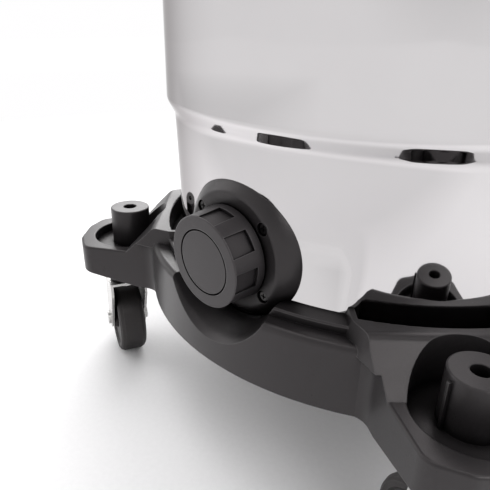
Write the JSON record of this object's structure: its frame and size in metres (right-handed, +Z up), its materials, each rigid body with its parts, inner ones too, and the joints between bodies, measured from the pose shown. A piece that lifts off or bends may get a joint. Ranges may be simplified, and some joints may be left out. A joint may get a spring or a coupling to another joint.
{
  "type": "shop vacuum",
  "caption": "Wet and dry shop vacuum: polished steel tank with screw-capped drain on a black caster base with accessory posts, lift-off motor head with handle and latches.",
  "frame": {"origin": "on the floor, on the tank axis", "axes": "+Z up, -Y towards the drain, casters on the diagonals"},
  "size_m": [0.3796, 0.3713, 0.626],
  "materials": {
    "black_plastic": "satin black moulded plastic with a fine grain",
    "cover_plastic": "satin black moulded plastic",
    "polished_steel": "mirror-polished stainless steel",
    "zinc_steel": "bright zinc plating",
    "rubber": "matt black rubber",
    "wheel_plastic": "black polyolefin tread, satin",
    "switch_plastic": "semi-gloss black",
    "rocker_plastic": "semi-gloss red",
    "motor_metal": "grey lacquered steel",
    "bearing_steel": "ground steel",
    "fan_metal": "pressed aluminium",
    "cage_plastic": "black moulded plastic",
    "filter_paper": "pleated filter paper",
    "float_plastic": "white foamed plastic"
  },
  "bodies": {
    "base": {"base_dolly": "black_plastic", "tank_shell": "polished_steel", "tank_bolts": "zinc_steel", "tank_bolt_seals": "rubber", "tank_bolt_nuts": "zinc_steel", "drain_flange": "black_plastic", "drain_gasket": "rubber", "drain_backing_ring": "black_plastic", "drain_screws": "zinc_steel", "inlet_port": "black_plastic", "inlet_gasket": "rubber", "inlet_deflector": "black_plastic", "inlet_screws": "zinc_steel"},
    "caster_rear_right": {"caster_fork_rear_right": "zinc_steel", "caster_stem_rear_right": "zinc_steel", "caster_axle_rear_right": "zinc_steel"},
    "wheel_rear_right": {"caster_wheel_rear_right": "wheel_plastic"},
    "caster_rear_left": {"caster_fork_rear_left": "zinc_steel", "caster_stem_rear_left": "zinc_steel", "caster_axle_rear_left": "zinc_steel"},
    "wheel_rear_left": {"caster_wheel_rear_left": "wheel_plastic"},
    "caster_front_left": {"caster_fork_front_left": "zinc_steel", "caster_stem_front_left": "zinc_steel", "caster_axle_front_left": "zinc_steel"},
    "wheel_front_left": {"caster_wheel_front_left": "wheel_plastic"},
    "caster_front_right": {"caster_fork_front_right": "zinc_steel", "caster_stem_front_right": "zinc_steel", "caster_axle_front_right": "zinc_steel"},
    "wheel_front_right": {"caster_wheel_front_right": "wheel_plastic"},
    "drain_seal": {"drain_cap_seal": "rubber"},
    "drain_cap": {"drain_cap": "black_plastic"},
    "head": {"head_lid": "black_plastic", "lid_seal": "rubber", "motor_cover": "cover_plastic", "carry_handle": "black_plastic", "handle_screws": "zinc_steel", "cover_screws": "zinc_steel", "switch_bezel": "switch_plastic", "blower_port": "black_plastic", "cord_gland": "rubber", "latch_pins": "zinc_steel", "motor_can": "motor_metal", "field_stator": "motor_metal", "motor_bearings": "bearing_steel", "fan_housing": "fan_metal", "filter_cage": "cage_plastic", "cartridge_filter": "filter_paper", "filter_retainer": "cage_plastic"},
    "rotor": {"motor_shaft": "bearing_steel", "armature": "motor_metal", "fan_impeller": "fan_metal"},
    "latch_right": {"latch_right": "black_plastic"},
    "latch_left": {"latch_left": "black_plastic"},
    "rocker": {"switch_rocker": "rocker_plastic"},
    "float": {"float_ball": "float_plastic"}
  },
  "joints": [
    {"name": "caster_swivel_rear_right", "type": "hinge", "parent": "base", "child": "caster_rear_right", "pos_m": [0.14885, 0.14885, 0.0755], "axis": [0, 0, 1], "continuous": true},
    {"name": "wheel_spin_rear_right", "type": "hinge", "parent": "caster_rear_right", "child": "wheel_rear_right", "pos_m": [0.13768, 0.15324, 0.032], "axis": [-0.3665, -0.9304, 0], "continuous": true},
    {"name": "caster_swivel_rear_left", "type": "hinge", "parent": "base", "child": "caster_rear_left", "pos_m": [-0.14885, 0.14885, 0.0755], "axis": [0, 0, 1], "continuous": true},
    {"name": "wheel_spin_rear_left", "type": "hinge", "parent": "caster_rear_left", "child": "wheel_rear_left", "pos_m": [-0.16001, 0.15324, 0.032], "axis": [-0.3665, -0.9304, 0], "continuous": true},
    {"name": "caster_swivel_front_left", "type": "hinge", "parent": "base", "child": "caster_front_left", "pos_m": [-0.14885, -0.14885, 0.0755], "axis": [0, 0, 1], "continuous": true},
    {"name": "wheel_spin_front_left", "type": "hinge", "parent": "caster_front_left", "child": "wheel_front_left", "pos_m": [-0.16001, -0.14445, 0.032], "axis": [-0.3665, -0.9304, 0], "continuous": true},
    {"name": "caster_swivel_front_right", "type": "hinge", "parent": "base", "child": "caster_front_right", "pos_m": [0.14885, -0.14885, 0.0755], "axis": [0, 0, 1], "continuous": true},
    {"name": "wheel_spin_front_right", "type": "hinge", "parent": "caster_front_right", "child": "wheel_front_right", "pos_m": [0.13768, -0.14445, 0.032], "axis": [-0.3665, -0.9304, 0], "continuous": true},
    {"name": "drain_cap_travel", "type": "slide", "parent": "base", "child": "drain_seal", "axis": [0, -0.9991, -0.0427], "range_m": [0, 0.015]},
    {"name": "drain_cap_turn", "type": "hinge", "parent": "drain_seal", "child": "drain_cap", "pos_m": [0, -0.16075, 0.156], "axis": [0, -0.9991, -0.0427], "range_deg": [0, 900]},
    {"name": "head_lift", "type": "slide", "parent": "base", "child": "head", "axis": [0, 0, 1], "range_m": [0, 0.2]},
    {"name": "rotor_spin", "type": "hinge", "parent": "head", "child": "rotor", "pos_m": [0, 0, 0.5], "axis": [0, 0, 1], "continuous": true},
    {"name": "latch_right_open", "type": "hinge", "parent": "head", "child": "latch_right", "pos_m": [0.1825, 0, 0.446], "axis": [0, -1, 0], "range_deg": [0, 70]},
    {"name": "latch_left_open", "type": "hinge", "parent": "head", "child": "latch_left", "pos_m": [-0.1825, 0, 0.446], "axis": [0, 1, 0], "range_deg": [0, 70]},
    {"name": "switch_rock", "type": "hinge", "parent": "head", "child": "rocker", "pos_m": [0, 0.066, 0.5615], "axis": [-1, 0, 0], "range_deg": [0, 16]},
    {"name": "float_rise", "type": "slide", "parent": "head", "child": "float", "axis": [0, 0, 1], "range_m": [0, 0.06]}
  ],
  "couplings": [
    {"joint": "drain_cap_turn", "follows": "drain_cap_travel", "rad_per_m": 1047}
  ]
}
